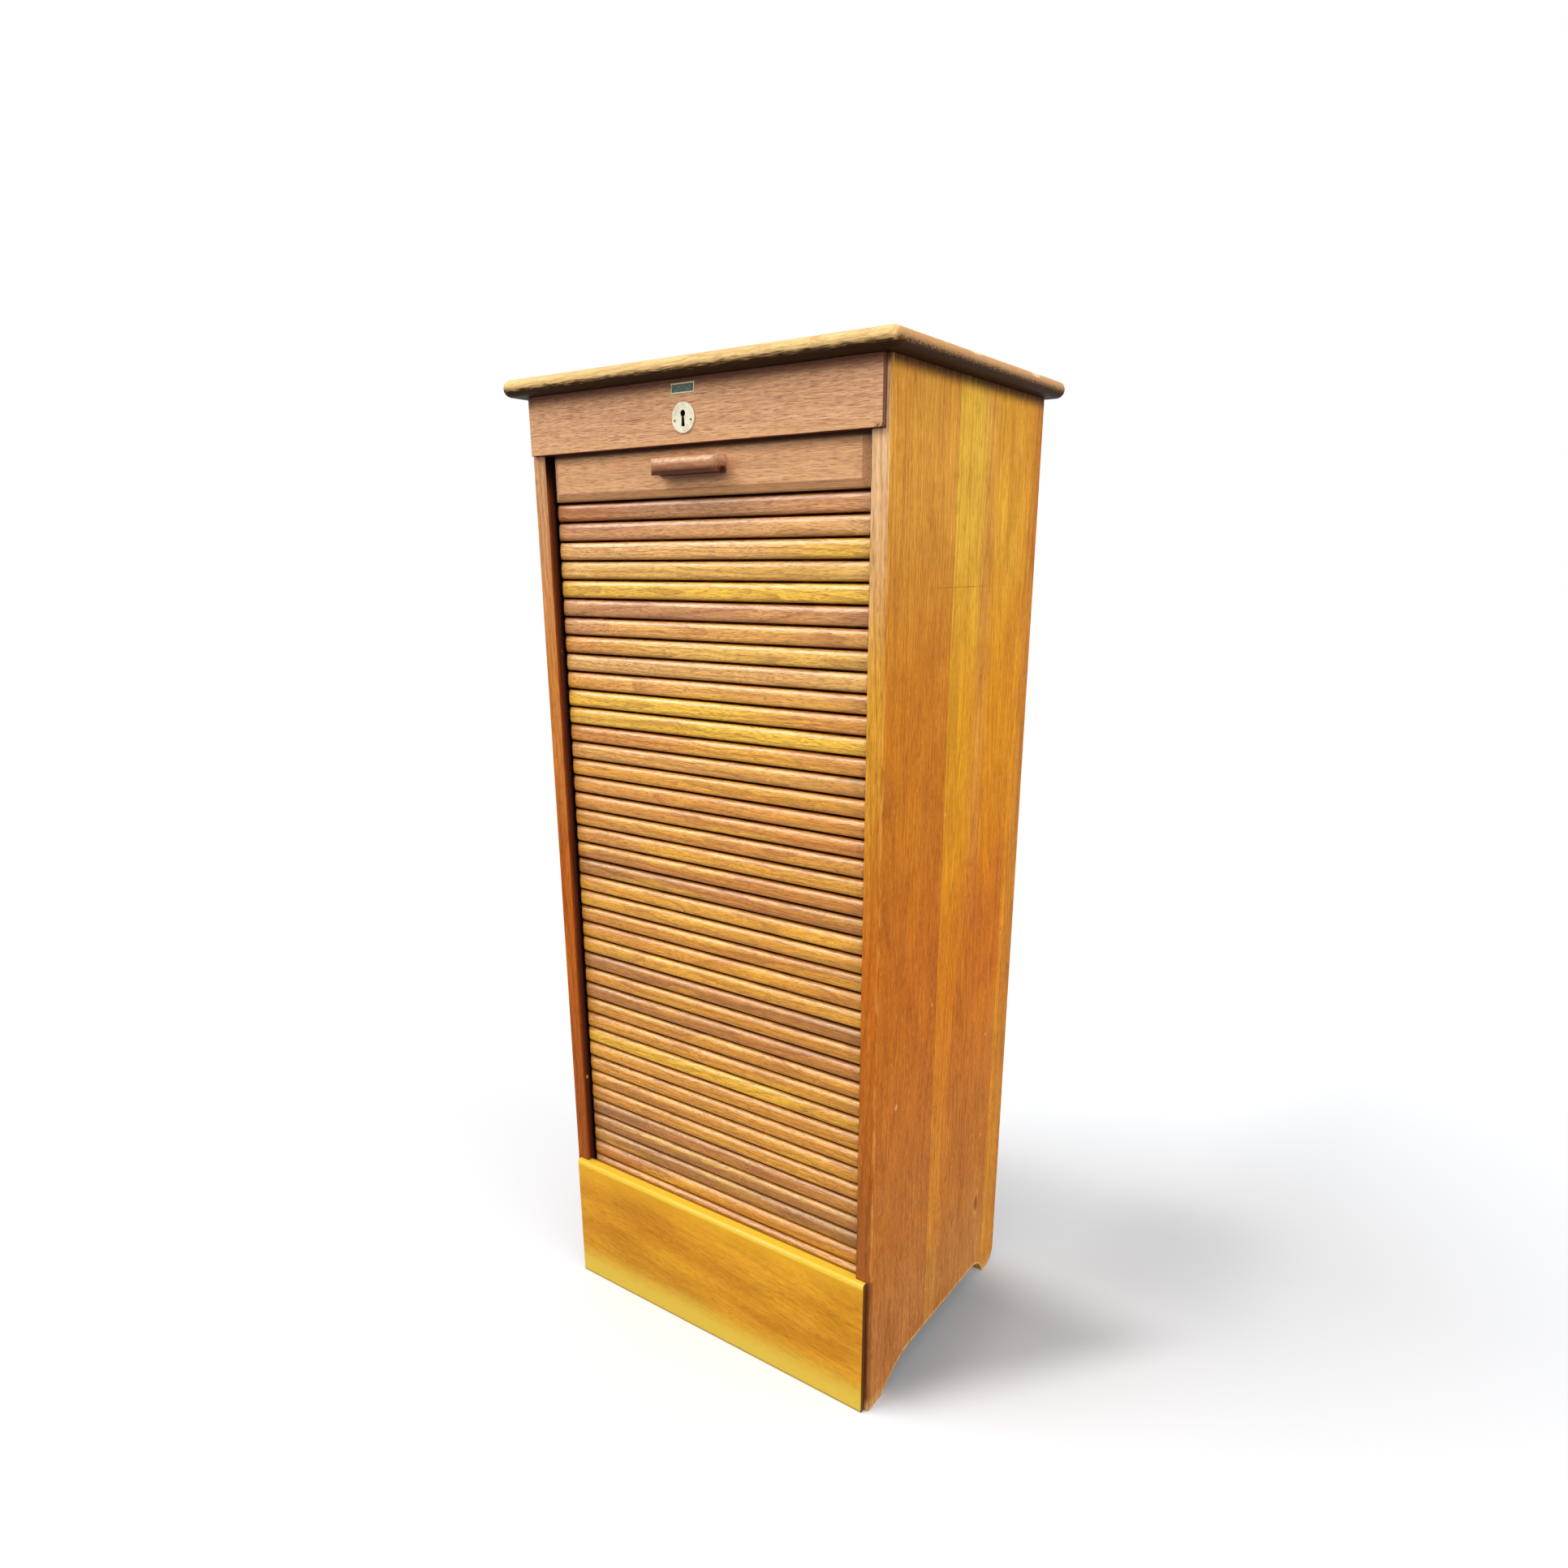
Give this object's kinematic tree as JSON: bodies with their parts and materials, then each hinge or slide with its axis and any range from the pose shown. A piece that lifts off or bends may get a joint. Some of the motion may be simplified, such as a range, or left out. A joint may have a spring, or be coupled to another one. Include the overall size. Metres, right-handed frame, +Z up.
{
  "type": "tambour door cabinet",
  "caption": "Narrow free-standing oak cabinet closed by a vertical tambour of half-round slats that slides down in side grooves, with shelves, a pull and a lock.",
  "frame": {"origin": "on the floor, under the middle of the cabinet's outer width and depth", "axes": "+X to the right seen from the front, +Y to the back, +Z up"},
  "size_m": [0.52, 0.402, 1.188],
  "materials": {
    "oak_top": "old shellac, satin",
    "oak_side": "old shellac, satin",
    "oak_front": "old shellac, satin",
    "oak_plinth": "old shellac, satin",
    "oak_slat": "old shellac, satin",
    "oak_pull": "handled smooth",
    "oak_inside": "plain, matt",
    "plywood_back": "plain, matt",
    "brass": "rubbed pale",
    "steel": "dull"
  },
  "bodies": {
    "carcass": {"top_board": "oak_top", "side_panel_left": "oak_side", "side_panel_right": "oak_side", "header_board": "oak_front", "plinth_board": "oak_plinth", "deck_board": "oak_inside", "shelf_1": "oak_inside", "shelf_2": "oak_inside", "false_back": "oak_inside", "top_rail": "oak_inside", "back_panel": "plywood_back", "lock_case": "steel", "escutcheon": "brass", "escutcheon_pin_left": "brass", "escutcheon_pin_right": "brass"},
    "lead_bar": {"lead_rail": "oak_front", "pull_handle": "oak_pull", "strike_plate": "brass"},
    "hook": {"lock_hook": "steel"},
    "slat_01": {"slat_01": "oak_slat"},
    "slat_02": {"slat_02": "oak_slat"},
    "slat_03": {"slat_03": "oak_slat"},
    "slat_04": {"slat_04": "oak_slat"},
    "slat_05": {"slat_05": "oak_slat"},
    "slat_06": {"slat_06": "oak_slat"},
    "slat_07": {"slat_07": "oak_slat"},
    "slat_08": {"slat_08": "oak_slat"},
    "slat_09": {"slat_09": "oak_slat"},
    "slat_10": {"slat_10": "oak_slat"},
    "slat_11": {"slat_11": "oak_slat"},
    "slat_12": {"slat_12": "oak_slat"},
    "slat_13": {"slat_13": "oak_slat"},
    "slat_14": {"slat_14": "oak_slat"},
    "slat_15": {"slat_15": "oak_slat"},
    "slat_16": {"slat_16": "oak_slat"},
    "slat_17": {"slat_17": "oak_slat"},
    "slat_18": {"slat_18": "oak_slat"},
    "slat_19": {"slat_19": "oak_slat"},
    "slat_20": {"slat_20": "oak_slat"},
    "slat_21": {"slat_21": "oak_slat"},
    "slat_22": {"slat_22": "oak_slat"},
    "slat_23": {"slat_23": "oak_slat"},
    "slat_24": {"slat_24": "oak_slat"},
    "slat_25": {"slat_25": "oak_slat"},
    "slat_26": {"slat_26": "oak_slat"},
    "slat_27": {"slat_27": "oak_slat"},
    "slat_28": {"slat_28": "oak_slat"},
    "slat_29": {"slat_29": "oak_slat"},
    "slat_30": {"slat_30": "oak_slat"},
    "slat_31": {"slat_31": "oak_slat"},
    "slat_32": {"slat_32": "oak_slat"},
    "slat_33": {"slat_33": "oak_slat"},
    "slat_34": {"slat_34": "oak_slat"},
    "slat_35": {"slat_35": "oak_slat"},
    "slat_36": {"slat_36": "oak_slat"},
    "slat_37": {"slat_37": "oak_slat"},
    "slat_38": {"slat_38": "oak_slat"},
    "slat_39": {"slat_39": "oak_slat"},
    "slat_40": {"slat_40": "oak_slat"},
    "slat_41": {"slat_41": "oak_slat"}
  },
  "joints": [
    {"name": "tambour_slide", "type": "slide", "parent": "carcass", "child": "lead_bar", "axis": [0, 0, -1], "range_m": [0, 0.874], "deforming": ["slat_01", "slat_02", "slat_03", "slat_04", "slat_05", "slat_06", "slat_07", "slat_08", "slat_09", "slat_10", "slat_11", "slat_12", "slat_13", "slat_14", "slat_15", "slat_16", "slat_17", "slat_18", "slat_19", "slat_20", "slat_21", "slat_22", "slat_23", "slat_24", "slat_25", "slat_26", "slat_27", "slat_28", "slat_29", "slat_30", "slat_31", "slat_32", "slat_33", "slat_34", "slat_35", "slat_36", "slat_37", "slat_38", "slat_39", "slat_40", "slat_41"]},
    {"name": "lock_hook_swing", "type": "hinge", "parent": "carcass", "child": "hook", "pos_m": [-0.0025, -0.16, 1.125], "axis": [0, -1, 0], "range_deg": [0, 75]},
    {"name": "slat_01_slide", "type": "slide", "parent": "carcass", "child": "slat_01", "axis": [0, 0, -1], "range_m": [0, 0.8742]},
    {"name": "slat_02_slide", "type": "slide", "parent": "carcass", "child": "slat_02", "axis": [0, 0, -1], "range_m": [0, 0.85417]},
    {"name": "slat_03_slide", "type": "slide", "parent": "carcass", "child": "slat_03", "axis": [0, 0, -1], "range_m": [0, 0.83414]},
    {"name": "slat_04_slide", "type": "slide", "parent": "carcass", "child": "slat_04", "axis": [0, 0, -1], "range_m": [0, 0.8141]},
    {"name": "slat_05_slide", "type": "slide", "parent": "carcass", "child": "slat_05", "axis": [0, 0, -1], "range_m": [0, 0.79406]},
    {"name": "slat_06_slide", "type": "slide", "parent": "carcass", "child": "slat_06", "axis": [0, 0, -1], "range_m": [0, 0.77403]},
    {"name": "slat_07_slide", "type": "slide", "parent": "carcass", "child": "slat_07", "axis": [0, 0, -1], "range_m": [0, 0.754]},
    {"name": "slat_08_slide", "type": "slide", "parent": "carcass", "child": "slat_08", "axis": [0, 0, -1], "range_m": [0, 0.73397]},
    {"name": "slat_09_slide", "type": "slide", "parent": "carcass", "child": "slat_09", "axis": [0, 0, -1], "range_m": [0, 0.71393]},
    {"name": "slat_10_slide", "type": "slide", "parent": "carcass", "child": "slat_10", "axis": [0, 0, -1], "range_m": [0, 0.6939]},
    {"name": "slat_11_slide", "type": "slide", "parent": "carcass", "child": "slat_11", "axis": [0, 0, -1], "range_m": [0, 0.67387]},
    {"name": "slat_12_slide", "type": "slide", "parent": "carcass", "child": "slat_12", "axis": [0, 0, -1], "range_m": [0, 0.65383]},
    {"name": "slat_13_slide", "type": "slide", "parent": "carcass", "child": "slat_13", "axis": [0, 0, -1], "range_m": [0, 0.6338]},
    {"name": "slat_14_slide", "type": "slide", "parent": "carcass", "child": "slat_14", "axis": [0, 0, -1], "range_m": [0, 0.61377]},
    {"name": "slat_15_slide", "type": "slide", "parent": "carcass", "child": "slat_15", "axis": [0, 0, -1], "range_m": [0, 0.59373]},
    {"name": "slat_16_slide", "type": "slide", "parent": "carcass", "child": "slat_16", "axis": [0, 0, -1], "range_m": [0, 0.5737]},
    {"name": "slat_17_slide", "type": "slide", "parent": "carcass", "child": "slat_17", "axis": [0, 0, -1], "range_m": [0, 0.55367]},
    {"name": "slat_18_slide", "type": "slide", "parent": "carcass", "child": "slat_18", "axis": [0, 0, -1], "range_m": [0, 0.53364]},
    {"name": "slat_19_slide", "type": "slide", "parent": "carcass", "child": "slat_19", "axis": [0, 0, -1], "range_m": [0, 0.51361]},
    {"name": "slat_20_slide", "type": "slide", "parent": "carcass", "child": "slat_20", "axis": [0, 0, -1], "range_m": [0, 0.49356]},
    {"name": "slat_21_slide", "type": "slide", "parent": "carcass", "child": "slat_21", "axis": [0, 0, -1], "range_m": [0, 0.47353]},
    {"name": "slat_22_slide", "type": "slide", "parent": "carcass", "child": "slat_22", "axis": [0, 0, -1], "range_m": [0, 0.4535]},
    {"name": "slat_23_slide", "type": "slide", "parent": "carcass", "child": "slat_23", "axis": [0, 0, -1], "range_m": [0, 0.43347]},
    {"name": "slat_24_slide", "type": "slide", "parent": "carcass", "child": "slat_24", "axis": [0, 0, -1], "range_m": [0, 0.41344]},
    {"name": "slat_25_slide", "type": "slide", "parent": "carcass", "child": "slat_25", "axis": [0, 0, -1], "range_m": [0, 0.3934]},
    {"name": "slat_26_slide", "type": "slide", "parent": "carcass", "child": "slat_26", "axis": [0, 0, -1], "range_m": [0, 0.37337]},
    {"name": "slat_27_slide", "type": "slide", "parent": "carcass", "child": "slat_27", "axis": [0, 0, -1], "range_m": [0, 0.35333]},
    {"name": "slat_28_slide", "type": "slide", "parent": "carcass", "child": "slat_28", "axis": [0, 0, -1], "range_m": [0, 0.3333]},
    {"name": "slat_29_slide", "type": "slide", "parent": "carcass", "child": "slat_29", "axis": [0, 0, -1], "range_m": [0, 0.31327]},
    {"name": "slat_30_slide", "type": "slide", "parent": "carcass", "child": "slat_30", "axis": [0, 0, -1], "range_m": [0, 0.29323]},
    {"name": "slat_31_slide", "type": "slide", "parent": "carcass", "child": "slat_31", "axis": [0, 0, -1], "range_m": [0, 0.2732]},
    {"name": "slat_32_slide", "type": "slide", "parent": "carcass", "child": "slat_32", "axis": [0, 0, -1], "range_m": [0, 0.25317]},
    {"name": "slat_33_slide", "type": "slide", "parent": "carcass", "child": "slat_33", "axis": [0, 0, -1], "range_m": [0, 0.23314]},
    {"name": "slat_34_slide", "type": "slide", "parent": "carcass", "child": "slat_34", "axis": [0, 0, -1], "range_m": [0, 0.2131]},
    {"name": "slat_35_slide", "type": "slide", "parent": "carcass", "child": "slat_35", "axis": [0, 0, -1], "range_m": [0, 0.19307]},
    {"name": "slat_36_slide", "type": "slide", "parent": "carcass", "child": "slat_36", "axis": [0, 0, -1], "range_m": [0, 0.17303]},
    {"name": "slat_37_slide", "type": "slide", "parent": "carcass", "child": "slat_37", "axis": [0, 0, -1], "range_m": [0, 0.153]},
    {"name": "slat_38_slide", "type": "slide", "parent": "carcass", "child": "slat_38", "axis": [0, 0, -1], "range_m": [0, 0.13297]},
    {"name": "slat_39_slide", "type": "slide", "parent": "carcass", "child": "slat_39", "axis": [0, 0, -1], "range_m": [0, 0.11294]},
    {"name": "slat_40_slide", "type": "slide", "parent": "carcass", "child": "slat_40", "axis": [0, 0, -1], "range_m": [0, 0.09291]},
    {"name": "slat_41_slide", "type": "slide", "parent": "carcass", "child": "slat_41", "axis": [0, 0, -1], "range_m": [0, 0.07287]}
  ],
  "couplings": [
    {"joint": "slat_01_slide", "follows": "tambour_slide", "ratio": 1},
    {"joint": "slat_02_slide", "follows": "tambour_slide", "ratio": 0.97708},
    {"joint": "slat_03_slide", "follows": "tambour_slide", "ratio": 0.95416},
    {"joint": "slat_04_slide", "follows": "tambour_slide", "ratio": 0.93124},
    {"joint": "slat_05_slide", "follows": "tambour_slide", "ratio": 0.90831},
    {"joint": "slat_06_slide", "follows": "tambour_slide", "ratio": 0.88539},
    {"joint": "slat_07_slide", "follows": "tambour_slide", "ratio": 0.86247},
    {"joint": "slat_08_slide", "follows": "tambour_slide", "ratio": 0.83955},
    {"joint": "slat_09_slide", "follows": "tambour_slide", "ratio": 0.81663},
    {"joint": "slat_10_slide", "follows": "tambour_slide", "ratio": 0.79371},
    {"joint": "slat_11_slide", "follows": "tambour_slide", "ratio": 0.77079},
    {"joint": "slat_12_slide", "follows": "tambour_slide", "ratio": 0.74786},
    {"joint": "slat_13_slide", "follows": "tambour_slide", "ratio": 0.72494},
    {"joint": "slat_14_slide", "follows": "tambour_slide", "ratio": 0.70202},
    {"joint": "slat_15_slide", "follows": "tambour_slide", "ratio": 0.6791},
    {"joint": "slat_16_slide", "follows": "tambour_slide", "ratio": 0.65618},
    {"joint": "slat_17_slide", "follows": "tambour_slide", "ratio": 0.63326},
    {"joint": "slat_18_slide", "follows": "tambour_slide", "ratio": 0.61034},
    {"joint": "slat_19_slide", "follows": "tambour_slide", "ratio": 0.58742},
    {"joint": "slat_20_slide", "follows": "tambour_slide", "ratio": 0.56449},
    {"joint": "slat_21_slide", "follows": "tambour_slide", "ratio": 0.54157},
    {"joint": "slat_22_slide", "follows": "tambour_slide", "ratio": 0.51865},
    {"joint": "slat_23_slide", "follows": "tambour_slide", "ratio": 0.49573},
    {"joint": "slat_24_slide", "follows": "tambour_slide", "ratio": 0.47281},
    {"joint": "slat_25_slide", "follows": "tambour_slide", "ratio": 0.44989},
    {"joint": "slat_26_slide", "follows": "tambour_slide", "ratio": 0.42697},
    {"joint": "slat_27_slide", "follows": "tambour_slide", "ratio": 0.40404},
    {"joint": "slat_28_slide", "follows": "tambour_slide", "ratio": 0.38112},
    {"joint": "slat_29_slide", "follows": "tambour_slide", "ratio": 0.3582},
    {"joint": "slat_30_slide", "follows": "tambour_slide", "ratio": 0.33528},
    {"joint": "slat_31_slide", "follows": "tambour_slide", "ratio": 0.31236},
    {"joint": "slat_32_slide", "follows": "tambour_slide", "ratio": 0.28944},
    {"joint": "slat_33_slide", "follows": "tambour_slide", "ratio": 0.26652},
    {"joint": "slat_34_slide", "follows": "tambour_slide", "ratio": 0.24359},
    {"joint": "slat_35_slide", "follows": "tambour_slide", "ratio": 0.22067},
    {"joint": "slat_36_slide", "follows": "tambour_slide", "ratio": 0.19775},
    {"joint": "slat_37_slide", "follows": "tambour_slide", "ratio": 0.17483},
    {"joint": "slat_38_slide", "follows": "tambour_slide", "ratio": 0.15191},
    {"joint": "slat_39_slide", "follows": "tambour_slide", "ratio": 0.12899},
    {"joint": "slat_40_slide", "follows": "tambour_slide", "ratio": 0.10607},
    {"joint": "slat_41_slide", "follows": "tambour_slide", "ratio": 0.08315}
  ]
}
